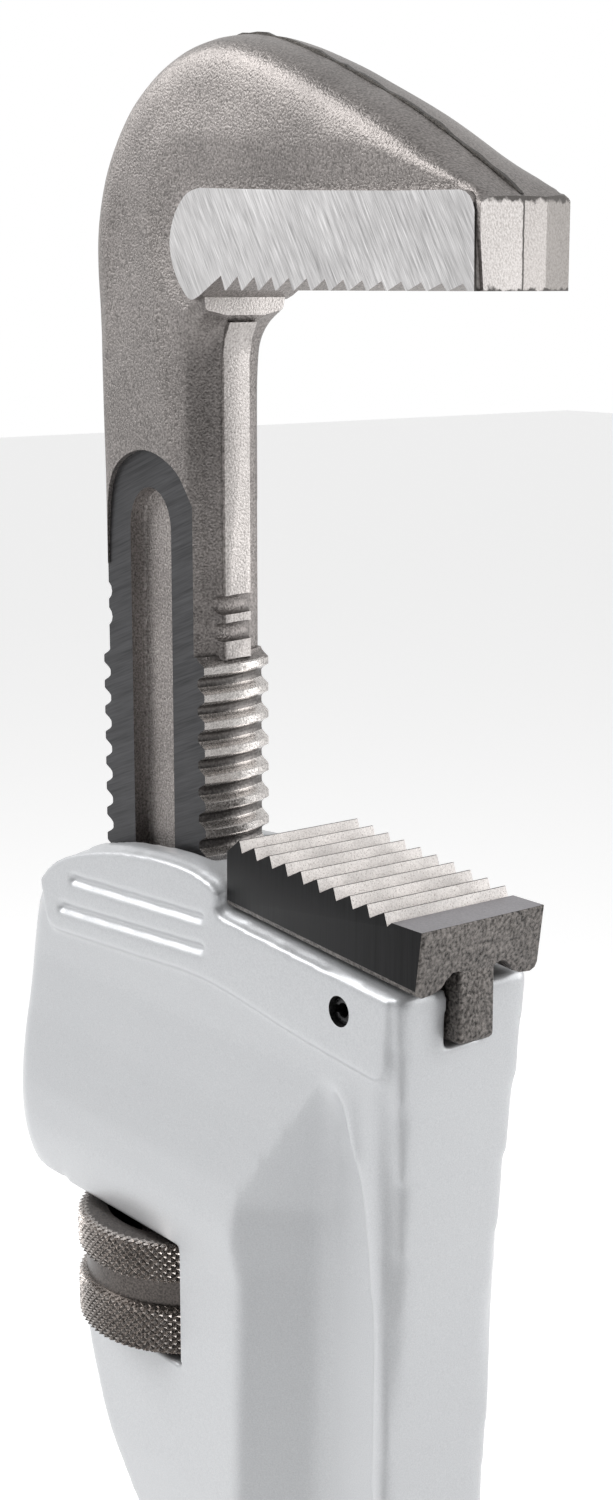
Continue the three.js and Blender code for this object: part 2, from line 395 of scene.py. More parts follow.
def steelFinish(name, dark, light, metallic, rough, grainScale, grainDepth, patchScale=60, speck=None):
    material, nodes, links = newMaterial(name)
    shader = nodes["Principled BSDF"]
    shader.inputs["Metallic"].default_value = metallic
    patches = noise(nodes, links, patchScale, 5)
    grain = noise(nodes, links, grainScale, 6)
    colour = ramp(nodes, links, grain.outputs["Fac"], [(0.3, dark), (0.7, light)]).outputs["Color"]
    tone = ramp(nodes, links, patches.outputs["Fac"], [(0.3, (0.82, 0.82, 0.82)), (0.7, (1.1, 1.1, 1.1))])
    colour = blendColour(nodes, links, 1.0, colour, tone.outputs["Color"], "MULTIPLY")
    if speck:
        pits = noise(nodes, links, grainScale * 1.7, 2)
        mask = ramp(nodes, links, pits.outputs["Fac"], [(0.33, (1, 1, 1)), (0.42, (0, 0, 0))])
        colour = blendColour(nodes, links, mask.outputs["Color"], colour, speck)
    links.new(colour, shader.inputs["Base Color"])
    gloss = spread(nodes, links, grain.outputs["Fac"], rough - 0.07, rough + 0.1)
    links.new(gloss, shader.inputs["Roughness"])
    addBump(nodes, links, shader, grain.outputs["Fac"], grainDepth)
    return material


def brushedFinish(name, dark, light, metallic, rough, stretch, turn, depth, fineScale=4200):
    material, nodes, links = newMaterial(name)
    shader = nodes["Principled BSDF"]
    shader.inputs["Metallic"].default_value = metallic
    fine = noise(nodes, links, fineScale, 3, stretch, turn)
    wide = noise(nodes, links, fineScale / 4, 2, stretch, turn)
    fog = noise(nodes, links, 70, 4)
    both = blendColour(nodes, links, 0.4, fine.outputs["Fac"], wide.outputs["Fac"])
    colour = ramp(nodes, links, both, [(0.3, dark), (0.7, light)]).outputs["Color"]
    tone = ramp(nodes, links, fog.outputs["Fac"], [(0.3, (0.88, 0.88, 0.88)), (0.7, (1.06, 1.06, 1.06))])
    colour = blendColour(nodes, links, 1.0, colour, tone.outputs["Color"], "MULTIPLY")
    links.new(colour, shader.inputs["Base Color"])
    links.new(spread(nodes, links, both, rough - 0.08, rough + 0.12), shader.inputs["Roughness"])
    addBump(nodes, links, shader, both, depth)
    return material


def paintFinish():
    material, nodes, links = newMaterial("castingPaint")
    shader = nodes["Principled BSDF"]
    shader.inputs["Metallic"].default_value = 0.3
    shader.inputs["Coat Weight"].default_value = 0.22
    shader.inputs["Coat Roughness"].default_value = 0.22
    fleck = noise(nodes, links, 4200, 2)
    cloud = noise(nodes, links, 24, 4)
    skin = noise(nodes, links, 900, 3)
    colour = ramp(nodes, links, fleck.outputs["Fac"],
                  [(0.3, (0.47, 0.48, 0.495)), (0.7, (0.56, 0.57, 0.582))])
    tone = ramp(nodes, links, cloud.outputs["Fac"], [(0.3, (0.965, 0.965, 0.97)), (0.7, (1.0, 1.0, 1.0))])
    links.new(blendColour(nodes, links, 1.0, colour.outputs["Color"], tone.outputs["Color"], "MULTIPLY"),
              shader.inputs["Base Color"])
    links.new(spread(nodes, links, fleck.outputs["Fac"], 0.32, 0.46), shader.inputs["Roughness"])
    first = addBump(nodes, links, shader, skin.outputs["Fac"], 0.00003)
    addBump(nodes, links, shader, fleck.outputs["Fac"], 0.00001, 1.0, first)
    return material


def tipFinishAndShade():  # blasted end of the hook, dark where it is torn at the rims and along the parting, with painted shade on its far half and deeper painted shade on its far facet
    material, nodes, links = newMaterial("blastedTipAndShade")
    shader = nodes["Principled BSDF"]
    shader.inputs["Metallic"].default_value = 0.5
    grain = noise(nodes, links, 2600, 6)
    rough = noise(nodes, links, 700, 4)
    colour = ramp(nodes, links, grain.outputs["Fac"],
                  [(0.3, (0.36, 0.335, 0.32)), (0.65, (0.62, 0.59, 0.575))])
    colour = colour.outputs["Color"]
    coords = nodes.new("ShaderNodeTexCoord")
    split = nodes.new("ShaderNodeSeparateXYZ")
    links.new(coords.outputs["Object"], split.inputs[0])

    def reckon(operation, first, second):
        node = nodes.new("ShaderNodeMath")
        node.operation = operation
        for socket, value in zip(node.inputs, (first, second)):
            if isinstance(value, float):
                socket.default_value = value
            else:
                links.new(value, socket)
        return node.outputs[0]

    wander = reckon("MULTIPLY", reckon("SUBTRACT", rough.outputs["Fac"], 0.5), 2.4 * mm)
    side = reckon("ADD", split.outputs["Y"], reckon("MULTIPLY", wander, 0.16))
    height = reckon("ADD", split.outputs["Z"], wander)
    # painted shade: past the parting line the tip is darkened a little, and the far facet much more
    far = spread(nodes, links, side, 0, 1, 3.5 * mm, 3.8 * mm)
    middle = spread(nodes, links, side, 0, 1, -1.1 * mm, -0.9 * mm)
    colour = blendColour(nodes, links, middle, colour, (0.87, 0.865, 0.86), "MULTIPLY")
    colour = blendColour(nodes, links, far, colour, (0.6, 0.595, 0.585), "MULTIPLY")
    top, low = at(0, 0, 107.9).z, at(0, 0, 95.3).z
    tornSteel = (0.06, 0.054, 0.05)
    parting = reckon("ABSOLUTE", reckon("ADD", side, 1.0 * mm), 0.0)
    dark = [spread(nodes, links, parting, 1, 0, 0.1 * mm, 0.24 * mm),
            spread(nodes, links, height, 0, 1, top, top + 0.5 * mm),
            spread(nodes, links, height, 1, 0, low + 0.15 * mm, low + 0.5 * mm),
            spread(nodes, links, side, 1, 0, -9.6 * mm, -9.35 * mm)]
    for mask in dark:
        colour = blendColour(nodes, links, mask, colour, tornSteel)
    links.new(colour, shader.inputs["Base Color"])
    links.new(spread(nodes, links, grain.outputs["Fac"], 0.44, 0.6), shader.inputs["Roughness"])
    addBump(nodes, links, shader, grain.outputs["Fac"], 0.00008)
    return material


castingPaint = paintFinish()
forgedSkin = steelFinish("forgedSkin", (0.125, 0.114, 0.108), (0.36, 0.333, 0.32), 0.85, 0.41,
                         2500, 0.00017)
groundSteel = brushedFinish("groundSteel", (0.36, 0.352, 0.352), (0.75, 0.74, 0.74), 0.85, 0.36,
                            (1, 1, 34), (0, math.radians(-32), 0), 0.000006, 8500)
blastedTipAndShade = tipFinishAndShade()
recessSkin = steelFinish("recessSkin", (0.18, 0.165, 0.157), (0.5, 0.465, 0.447), 0.85, 0.41, 2500,
                         0.00017)
# painted highlight: a lighter copy of the forged skin, for the relief face and the rib's facet that face
# the side light
facetHighlight = steelFinish("facetHighlight", (0.29, 0.27, 0.258), (0.6, 0.567, 0.55), 0.85, 0.4, 2500, 0.0001)
# painted reflection: the milled flats are near black, standing in for the dark surroundings mirrored in
# them
milledFlatDarkReflection = brushedFinish("milledFlatDarkReflection", (0.036, 0.036, 0.038), (0.088, 0.088, 0.092), 0.8, 0.38,
                           (1, 1, 30), (0, math.radians(70), 0), 0.000005)
threadSteel = steelFinish("threadSteel", (0.38, 0.36, 0.347), (0.76, 0.725, 0.7), 0.9, 0.25, 2600,
                          0.00003)
# painted shade: a dark copy of the thread steel for the roots and the downward flanks
threadRootShade = steelFinish("threadRootShade", (0.07, 0.065, 0.062), (0.2, 0.187, 0.18), 0.9, 0.34, 2600, 0.00006)
heelSide = brushedFinish("heelSide", (0.003, 0.003, 0.0034), (0.015, 0.015, 0.016), 0.88, 0.36,
                         (1, 1, 40), (0, 0, 0), 0.000006, 3400)
heelForged = steelFinish("heelForged", (0.016, 0.0145, 0.0135), (0.22, 0.202, 0.19), 0.85, 0.36,
                         1700, 0.0003, 45)
heelLand = steelFinish("heelLand", (0.16, 0.153, 0.164), (0.29, 0.28, 0.294), 0.75, 0.4, 3000, 0.00003)
heelTeeth = steelFinish("heelTeeth", (0.62, 0.59, 0.572), (0.88, 0.845, 0.82), 0.3, 0.5, 2600,
                        0.00005, 160,
                        (0.42, 0.38, 0.36))
# bare drilled metal with painted shade: near black, for the pin hole's wall
drilledMetalShade = steelFinish("drilledMetalShade", (0.03, 0.03, 0.03), (0.09, 0.09, 0.09), 0.8, 0.45, 2500,
                           0.00003)
pinSteel = steelFinish("pinSteel", (0.015, 0.015, 0.016), (0.06, 0.06, 0.062), 0.9, 0.3, 2500, 0.00004)
springSteel = brushedFinish("springSteel", (0.08, 0.085, 0.09), (0.2, 0.2, 0.21), 0.9, 0.3,
                            (1, 1, 12), (0, 0, 0), 0.000006)
partingSteel = steelFinish("partingSteel", (0.03, 0.028, 0.026), (0.12, 0.11, 0.1), 0.8, 0.5, 1500,
                           0.0001)
knurlSteel = steelFinish("knurlSteel", (0.1, 0.088, 0.08), (0.56, 0.515, 0.485), 0.92, 0.2, 2400, 0.00003)
grooveSteel = steelFinish("grooveSteel", (0.04, 0.036, 0.034), (0.15, 0.132, 0.122), 0.85, 0.34,
                          2600, 0.00003)
print("materials made")


# handle: casting with housing, flutes, panels and hang hole

casting = {"pinHole": (63.1, -18.8), "panelHalf": 14.4, "hipHalf": 16.6, "beamHalf": 9.8,
           "windowTop": -75.7, "windowBottom": -99.4, "windowRadius": 23.2, "slotHalf": 4.1,
           "coarse": 0.9, "fine": 0.52}


def handleOutline():
    end = handleEnd
    rear = through([(-14.7, -7.0), (-24, -10.2), (-32, -13.4), (-38.2, -18.4), (-40.6, -27), (-42.6, -42),
                    (-44.8, -58), (-44.6, -68), (-42, -76), (-37, -81), (-30, -82.6)], 4)
    throat = through([(-16.5, -99), (-13.4, -110), (-8, -123), (1, -136), (10, -154), (16, -172),
                      (18.6, -192)], 4)
    tip = through([(19.4, end + 40), (17.6, end + 22), (20.4, end + 8), (29, end), (38, end - 0.05),
                   (47, end), (55.4, end + 7), (57.4, end + 22), (58, end + 40)], 5)
    front = through([(71.4, -135), (72.6, -90), (75, -60), (77, -30), (77.8, -13.4)], 3)
    rim = through([(28.2, -9.2), (30.3, -6.3), (28, -4.3), (20, -3), (11, -3.1), (-2.6, -4.5)], 3)
    return rim + rear + [(-24, -81)] + throat + tip + front


def castingBody():  # the sides run round into the rear edge in a long soft curve
    line = handleOutline()
    middle = Vector((-6, -46))
    # how far in from the rear edge the side face starts, at each half width
    shares = [(18, 25), (16.5, 20), (15.4, 15.5), (14.4, 12), (13.5, 9.6), (12.2, 6.8), (10.5, 4), (8, 1.5),
              (5, 0.3)]
    shares += [(-y, inset) for y, inset in reversed(shares)]
    rings = []
    for y, inset in shares:
        ring = []
        for x, z in line:
            spot = Vector((x, z))
            rear = min(1, max(0, (-14 - x) / 12)) * min(1, max(0, (z + 90) / 8))
            rear *= 1 - 0.36 * min(1, max(0, (-22 - z) / 26))
            inward = (middle - spot).normalized() * inset * rear
            ring.append(at(x + inward.x, y, z + inward.y))
        rings.append(ring)
    return loft("casting", rings)


def flankSection(points):
    return points + [(-y, z) for y, z in reversed(points)]


def pocketCutter():
    # rear edge, front edge and floor of the flute at falling heights
    stations = [(-29, 57, 60, 15), (-35, 52, 63.5, 12.5), (-43, 46.5, 66, 9), (-52, 40.5, 67.6, 6.4),
                (-61, 35.2, 68.8, 5), (-74, 33.6, 69.6, 4.5), (-125, 32.4, 68.4, 4.5),
                (-210, 29.2, 65, 4.3), (-320, 27, 60, 4.2), (handleEnd + 64, 26.4, 51, 4.2),
                (handleEnd + 56, 29.5, 48, 6), (handleEnd + 50, 34, 43.5, 12)]
    outside = -18
    z0, rear0, front0, floor0 = stations[0]
    wide = front0 - rear0
    deep = -floor0 - outside
    shape = [(0, 0), (0.12, 0.35), (0.35, 0.93), (0.44, 1), (0.84, 1), (0.93, 0.8), (1, 0.35), (1, 0)]
    piece = drawFace("pocket", [at(rear0 + wide * u, outside + deep * v, z0) for u, v in shape])
    startEdit(piece)
    bpy.ops.mesh.select_all(action="SELECT")
    for z, rear, front, floor in stations[1:]:
        move = ((rear - rear0) * mm, 0, (z - z0) * mm)
        bpy.ops.mesh.extrude_region_move(TRANSFORM_OT_translate={"value": move})
        scale = ((front - rear) / (front0 - rear0), (-floor - outside) / (-floor0 - outside), 1)
        bpy.ops.transform.resize(value=scale, center_override=at(rear, outside, z))
        z0, rear0, front0, floor0 = z, rear, front, floor
    endEdit()
    return closeUp(piece)


def sidePanel():
    lower = [(-29.5, -16.5), (-28, -22)] + arc(-24.6, -22.2, 3.2, 190, 265, 4) \
        + through([(-20, -25.2), (4.7, -23.8), (22, -22.9), (34, -23.8), (50, -26), (69, -27.9)], 3)
    corner = arc(71.6, -24.8, 3.2, -90, 0, 4)
    top = [(75.1, -14.1), (30.5, -10.6), (28.6, -9.6), (29.4, -6.6)] \
        + through([(27, -5.2), (20, -4), (11, -4.1), (-2.6, -5.6), (-14.7, -8.4), (-24, -12),
                   (-29.5, -16.5)], 3)
    return plate("panel", lower + corner + top[:-1], -casting["panelHalf"], -10)


def grooveCutter(left, right, width=1.9):
    (x0, z0), (x1, z1) = left, right
    tilt = math.degrees(math.atan2(z1 - z0, x1 - x0))
    half = width / 2
    outline = arc(x1, z1, half, tilt - 90, tilt + 90, 6) + arc(x0, z0, half, tilt + 90, tilt + 270, 6)
    return plate("groove", outline, -20, -casting["panelHalf"] + 0.9)


def makeHandle():
    half = casting["hipHalf"]
    body = castingBody()
    beam = casting["beamHalf"]
    rearSide = flankSection([(13.3, 60), (13.4, 38), (14.4, 26), (half - 0.4, 12), (half, 4),
                             (half - 0.3, 0), (15.1, -6.5), (15.1, -52), (12.4, -98), (10.2, -130),
                             (beam, -420)])
    rearBar = bar("rearBar", rearSide, -70, 66, 0)
    startEdit(rearBar, "VERT")
    pick(rearBar, "VERT", lambda p, n: True)
    bpy.ops.transform.translate(value=(0, 0, -69 * mm))
    pick(rearBar, "VERT", lambda p, n: p.z > -140 * mm and p.x < 0)
    bpy.ops.transform.translate(value=(0, 0, -70 * 0.25 * mm))
    pick(rearBar, "VERT", lambda p, n: p.z > -140 * mm and p.x > 0)
    bpy.ops.transform.translate(value=(0, 0, 66 * 0.25 * mm))
    endEdit()
    frontSide = flankSection([(14.0, 20), (14.1, -14), (13.6, -21), (12.8, -30), (11.7, -45), (10.8, -60),
                              (10, -76), (9.3, -98), (9.1, -130), (9.6, -250), (beam, handleEnd - 20)])
    frontBar = bar("frontBar", frontSide, 68, 95)
    middleSide = flankSection([(13.8, 20), (13.8, -14), (13.4, -27), (13.2, -45), (12.8, -60), (12.2, -80),
                               (11.7, -104), (10.6, -150), (9.9, -182), (beam, handleEnd - 20)])
    middleBar = bar("middleBar", middleSide, 60, 72.6)
    topBar = bar("topBar", flankSection([(13.6, 20), (13.4, -24), (12.4, -36)]), -60, 80)
    combine(rearBar, [middleBar, frontBar, topBar], "UNION")
    combine(body, [rearBar], "INTERSECT")
    combine(body, mirrored(pocketCutter()), "DIFFERENCE")
    soften(body, casting["coarse"], 9)
    thin(body, 60000)
    print("casting body formed")

    combine(body, mirrored(sidePanel()), "UNION")
    cutters = mirrored(grooveCutter((-17.5, -14.1), (24.6, -12.1)))
    cutters += mirrored(grooveCutter((-22.0, -20.5), (24.6, -17.7)))
    mouth = [(-21.5, 10), (-21.5, -20), (-31, -45), (-31, -84), (21.2, -84), (21.2, 10)]
    cutters.append(plate("mouth", mouth, -8.7, 8.7))
    cutters.append(block("stripRoom", (10, -6.2, -73), (23.8, 6.2, -8)))
    cutters.append(drum("coilPocket", 5.6, 10, 36, "X", (0, -38)))
    cutters.append(drum("nutRoom", casting["windowRadius"], casting["windowBottom"], casting["windowTop"]))
    cutters.append(block("nutBack", (-70, -30, casting["windowBottom"]), (0, 30, casting["windowTop"])))
    cutters.append(block("tail", (-70, -8.7, -230), (18.8, 8.7, casting["windowBottom"] + 1)))
    rampPlate = bar("ramp", [(-14.2, -98.9), (-30, -98.9), (-30, -112)], -30, 17.8)
    cutters += mirrored(rampPlate)
    cutters.append(block("stemSlot", (28.5, -casting["slotHalf"], -23.4), (95, casting["slotHalf"], 10)))
    hang = arc(37.5, handleEnd + 31.5, 7.5, 0, 180, 14) + arc(37.5, handleEnd + 20.5, 7.5, 180, 360, 14)
    cutters.append(plate("hangHole", hang, -30, 30))
    combine(body, cutters, "DIFFERENCE")
    soften(body, casting["fine"], 4)
    thin(body, 180000)
    pinX, pinZ = casting["pinHole"]
    combine(body, [drum("pinHole", 2.6, -30, 30, "Y", (pinX, pinZ), 40)], "DIFFERENCE")
    shadeSmooth(body, 50)
    dress(body, castingPaint, drilledMetalShade)
    # the pin hole's wall: bare drilled metal, darkened as painted shade
    coat(body, drilledMetalShade, lambda p, n: math.hypot(p.x - pinX, p.z - pinZ) < 2.62 and abs(n.y) < 0.2)
    body.name = "handleCasting"
    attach(body, "handle")
    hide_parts("handle")
    print("handle made", len(body.data.polygons))
    return body


# hook jaw: forged head and shank, ground faces, teeth, milled flats and thread

hook = {"sideHalf": 9.7, "groundHalf": 9.9, "shankHalf": 8, "valleyHalf": 8.6, "flatHalf": 7.06,
        "crown": 7.0, "parting": -1.0, "teethZ": 95.3, "firstRoot": 26.02, "toothPitch": 4.58, "teeth": 14,
        "rootZ": 97.67, "rootFall": 0.1, "tipX": 88.6, "relief": 19.2, "facet": 16.75, "reliefZ": 94.1,
        "shankLow": 29, "voxel": 0.62}
thread = {"pitch": 4.89, "root": 15.7, "crest": 17.6, "crestFront": 30, "turns": 27, "sides": 72,
          "bottom": -101}


def hookCrown():  # the outer line of the head, from the back of the shank over the top to the tip
    return through([(-15.6, 62), (-16.0, 78), (-16.1, 90.5), (-15.4, 102.6), (-13.4, 112.6), (-9.9, 120),
                    (-4.4, 126.7), (2, 131.3), (8.2, 134.2), (15.1, 136.1), (22.8, 136.6), (31.8, 135.1),
                    (43.3, 131.3), (51.7, 127.9), (63.9, 122.6), (75.6, 116.4), (86, 110.4), (93, 106)], 4)


def groundOutline():
    corner = arc(84.4, 106.2, 3.4, 88, 8, 4)
    heelCurve = through([(19.5, 94.3), (17.2, 93.7), (14.8, 95.4), (12.3, 98.8), (11.2, 103), (12, 106.4),
                         (13.9, 109.2), (16.6, 111.2), (20, 111.9)], 3)
    return heelCurve + [(46.4, 110.7), (70, 109.9)] + corner + [(88.0, 90), (19.5, 90)]


def toothComb():
    line = [(19.2, 60), (hook["relief"], hook["reliefZ"])]
    for i in range(hook["teeth"]):
        x = hook["firstRoot"] + hook["toothPitch"] * i
        if i:
            line.append((x - 3.2, hook["teethZ"]))
        line.append((x, hook["rootZ"] - hook["rootFall"] * i))
        line.append((x + 1.0, hook["teethZ"]))
    return plate("comb", line + [(100, hook["teethZ"]), (100, 60)], -20, 20)


def headHalf(z):  # the head is thicker than the shank and fades into it
    t = min(1, max(0, (z - 85) / 23))
    return hook["shankHalf"] + (hook["sideHalf"] - hook["shankHalf"]) * t * t * (3 - 2 * t)


def forgedHead():
    low = hook["shankLow"]
    front = [(95, 92), (60, 92), (30, 92)] + through([(25.5, 93.6), (21, 92.8), (17.6, 90.4), (15.4, 86.8),
                                                     (14.5, 81), (14.3, 72), (14.3, 50), (14.3, low)], 3)
    rear = [(-15.5, low), (-15.5, 40), (-15.5, 50)]
    line = rear + hookCrown() + front

    # how far the side faces stay inside the outline
    def edgeRoom(x, z):
        if x > 0 and z < 95:
            return 3.4 if z < 86 else max(0, 3.4 - (z - 86) * 0.6)
        room = 3.6 + (hook["crown"] - 3.6) * min(1, max(0, (z - 84) / 40))
        return min(room, max(1.0, z - 109.4)) if x > 40 else room

    shares = [(1.0, 1.0), (0.97, 0.64), (0.9, 0.38), (0.75, 0.19), (0.5, 0.07), (0.2, 0.0)]
    shares += [(-share, room) for share, room in reversed(shares)]
    rings = []
    for share, room in shares:
        ring = []
        for k, (x, z) in enumerate(line):
            ahead, behind = line[(k + 1) % len(line)], line[k - 1]
            along = Vector((ahead[0] - behind[0], ahead[1] - behind[1])).normalized()
            inset = edgeRoom(x, z) * room
            if z < low + 1:
                along = Vector((0, 1 if x < 0 else -1))
            ring.append(at(x + along.y * inset, share * headHalf(z), z - along.x * inset))
        rings.append(ring)
    return loft("hookForging", rings)


def ridgeFlare():  # the rib down the front of the shank, spreading under the jaw
    side = [(27, 95), (23, 93.6), (20, 92), (17.8, 89.6), (16.7, 86), (16.3, 80), (16.3, 29), (8, 29),
            (8, 95)]
    rib = plate("rib", side, -3.3, 3.3)
    startEdit(rib)
    pick(rib, "VERT", lambda p, n: p.z > 91 * mm)
    bpy.ops.mesh.select_mode(type="VERT")
    bpy.ops.transform.resize(value=(1, 1.9, 1), center_override=(0, 0, 0))
    endEdit()
    return rib


def ridgeFacet():  # the crisp flat down the rib
    line = [(hook["facet"], 31.6), (hook["facet"], 84), (17.4, 87), (18.9, 89.9), (14, 89.9), (14, 31.6)]
    facet = plate("ridgeFacet", line, -2.95, 2.95)
    startEdit(facet, "EDGE")
    pick(facet, "EDGE", lambda a, b: min(a.x, b.x) > 16 * mm and abs(a.z - b.z) > 1 * mm)
    bpy.ops.mesh.bevel(offset=0.25 * mm, segments=2)
    endEdit()
    return facet


def dishCutter(side):  # the hollow that runs round the ground face
    outline = [(x, z) for x, z in groundOutline() if z > 91]
    low = hook["valleyHalf"] * side
    dish = drawFace("dish", [at(x, low, z) for x, z in outline])
    startEdit(dish)
    bpy.ops.mesh.select_all(action="SELECT")
    bpy.ops.transform.resize(value=(1.06, 1, 1.12), center_override=at(52, 0, 102))
    bpy.ops.mesh.extrude_region_move(TRANSFORM_OT_translate={"value": (0, side * 1.2 * mm, 0)})
    bpy.ops.transform.resize(value=(1.16, 1, 1.75), center_override=at(52, 0, 102))
    bpy.ops.mesh.extrude_region_move(TRANSFORM_OT_translate={"value": (0, side * 6 * mm, 0)})
    endEdit()
    return closeUp(dish)


def shankThread():
    crest, root = thread["crest"], thread["root"]
    profile = [(root - 1.2, -2.2), (root - 0.06, -2.2), (root + 0.12, -1.8), (root + 0.7, -1.35),
               (crest - 0.25, -0.85), (crest, -0.62)]
    profile += [(r, -z) for r, z in reversed(profile)]
    start = thread["crestFront"] - (thread["turns"] - 0.25) * thread["pitch"]
    ridge = helix("thread", profile, thread["pitch"], start, thread["turns"], thread["sides"])
    core = drum("threadCore", root, thread["bottom"], hook["shankLow"] + 0.6, "Z", (0, 0), thread["sides"])
    startEdit(core)
    pick(core, "FACE", lambda p, n: n.z < -0.9)
    bpy.ops.mesh.bevel(offset=1.5 * mm, segments=3)
    endEdit()
    combine(core, [ridge], "UNION")
    return core


def flatCutter():
    arch = through([(13.7, 46), (13.5, 56), (10.8, 63), (6.2, 66.4), (-1, 67.5), (-8.1, 65.2),
                    (-11.9, 60.6), (-13.2, 53), (-13.6, 46)], 4)
    outline = [(-25, -140), (25, -140), (25, 46)] + arch + [(-25, 46)]
    return plate("flatTool", outline, -30, -hook["flatHalf"])


def recessCutter():
    outline = [(-7.4, -96), (7.3, -96), (7.3, 54.6)] + arc(-0.05, 54.6, 7.35, 0, 180, 12)[1:]
    recess = plate("recess", outline, -30, -hook["flatHalf"] + 3)
    startEdit(recess)
    pick(recess, "FACE", lambda p, n: n.y > 0.9)
    bpy.ops.transform.resize(value=(0.86, 1, 0.985), center_override=at(0, 0, -20))
    bpy.ops.mesh.bevel(offset=0.7 * mm, segments=2)
    endEdit()
    return recess


def runoutCutter(z):  # where the thread tool runs out above the full turns
    deselectAll()
    bpy.ops.mesh.primitive_torus_add(major_segments=64, minor_segments=12, major_radius=16.55 * mm,
                                     minor_radius=1.75 * mm, location=at(0, 0, z),
                                     rotation=(math.radians(2.6), 0, 0))
    return settle(bpy.context.object, "runout")


def partingRidge():
    line = [(x, z) for x, z in hookCrown() if x < 90]
    outer = []
    for k, (x, z) in enumerate(line):
        lift = 0.3 + 0.14 * math.sin(k * 2.3) + 0.1 * math.sin(k * 5.1)
        ahead, behind = line[min(k + 1, len(line) - 1)], line[max(k - 1, 0)]
        along = Vector((ahead[0] - behind[0], ahead[1] - behind[1])).normalized()
        outer.append((x - along.y * lift, z + along.x * lift))
    inner = [(x, z) for x, z in reversed(line)]
    inner = [(x * 0.96 + 0.04 * 30, z * 0.96 + 0.04 * 90) for x, z in inner]
    return plate("partingRidge", outer + inner, hook["parting"] - 0.35, hook["parting"] + 0.35)


def makeHookJaw():
    head = forgedHead()
    combine(head, [ridgeFlare()], "UNION")
    combine(head, [dishCutter(-1), dishCutter(1)], "DIFFERENCE")
    soften(head, hook["voxel"], 7)
    thin(head, 60000)
    print("hook forging formed")

    pads = mirrored(plate("groundPad", groundOutline(), -hook["groundHalf"], -hook["valleyHalf"] + 1))
    combine(head, pads + [partingRidge(), ridgeFacet(), shankThread()], "UNION")
    tipTool = plate("tipTool", [(hook["tipX"], 60), (120, 60), (120, 150), (hook["tipX"], 150)], -30, 30)
    corner = [(hook["tipX"] + 0.01, 3.5), (hook["tipX"] - 2.1, 12), (110, 12), (110, 3.5)]
    facet = column("facetTool", corner, 60, 150)
    cutters = [tipTool, facet, toothComb(), runoutCutter(36.4), runoutCutter(41.2)]
    cutters += mirrored(flatCutter()) + mirrored(recessCutter())
    combine(head, cutters, "DIFFERENCE")
    shadeSmooth(head, 35)
    dress(head, forgedSkin, groundSteel, blastedTipAndShade, milledFlatDarkReflection, threadSteel, partingSteel, facetHighlight,
          threadRootShade, recessSkin)
    coat(head, threadSteel, lambda p, n: p.z < hook["shankLow"] + 2 and math.hypot(p.x, p.y) > 14.5)
    # painted shade on the thread's roots and downward-facing flanks
    coat(head, threadRootShade, lambda p, n: p.z < hook["shankLow"] + 1 and 14.5 < math.hypot(p.x, p.y) < 16.6
         and (n.z < -0.25 or math.hypot(p.x, p.y) < 15.95))
    coat(head, partingSteel, lambda p, n: abs(p.y - hook["parting"]) < 0.45 and p.z > 62 and p.x < 88.5
         and (p.x < -14 or p.z > 106))
    coat(head, groundSteel, lambda p, n: abs(abs(p.y) - hook["groundHalf"]) < 0.02 and abs(n.y) > 0.9)
    # the milled flats get the near-black painted reflection
    coat(head, milledFlatDarkReflection, lambda p, n: abs(abs(p.y) - hook["flatHalf"]) < 0.02 and abs(n.y) > 0.9)
    # the blasted tip, which also carries painted shade on its far half and far facet
    coat(head, blastedTipAndShade, lambda p, n: p.x > 86 and n.x > 0.9)
    # painted highlight on the relief face and the rib's facet
    coat(head, facetHighlight, lambda p, n: abs(p.x - hook["relief"]) < 0.05 and n.x > 0.9)
    coat(head, facetHighlight, lambda p, n: p.x > hook["facet"] - 0.02 and abs(p.y) < 2.8 and 31 < p.z < 90
         and n.x > 0.7)
    coat(head, recessSkin, lambda p, n: abs(p.y) < hook["flatHalf"] - 2 and abs(p.x) < 7.5 and p.z < 62
         and abs(n.y) > 0.8)
    head.name = "hookForging"
    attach(head, "hook_jaw")
    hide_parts("hook_jaw")
    print("hook jaw made", len(head.data.polygons))


# heel jaw: toothed T-shaped insert on the housing's seat

heel = {"half": 13, "rear": 30.5, "front": 81.9, "lean": 0.14, "firstTip": 34.22, "pitch": 4.26,
        "teeth": 10, "tipZ": 3.64, "fall": 0.44, "depth": 2.05, "land": -1.5, "seatFall": -0.0774,
        "stem": 3.6, "stemLow": -22.4, "stemFront": 80.4, "wear": 0.25}


def heelSection():  # half of the T's head, its zero at the seat line's height over the axis
    z = 6.25
    half = [(13, 24), (13, z - 11.4), (12.6, z - 12.3), (11.6, z - 12.8), (9.4, z - 12.6), (7.7, z - 11.9),
            (6.8, z - 10.7), (5.6, z - 9.7), (4.4, z - 9.6), (3.2, z - 10.2)]
    return half + [(-y, z) for y, z in reversed(half)]


def heelComb():
    line = [(20, 1.2), (heel["rear"] + 0.5, 1.2)]
    for i in range(heel["teeth"]):
        x = heel["firstTip"] + heel["pitch"] * i
        z = heel["tipZ"] - heel["fall"] * i
        line += [(x - 0.14, z), (x + 0.14, z - 0.03), (x + 0.85, z - heel["depth"])]
    line += [(x + 1.9, heel["land"] - 0.02), (100, heel["land"])]
    return plate("heelComb", line + [(100, 60), (20, 60)], -30, 30)


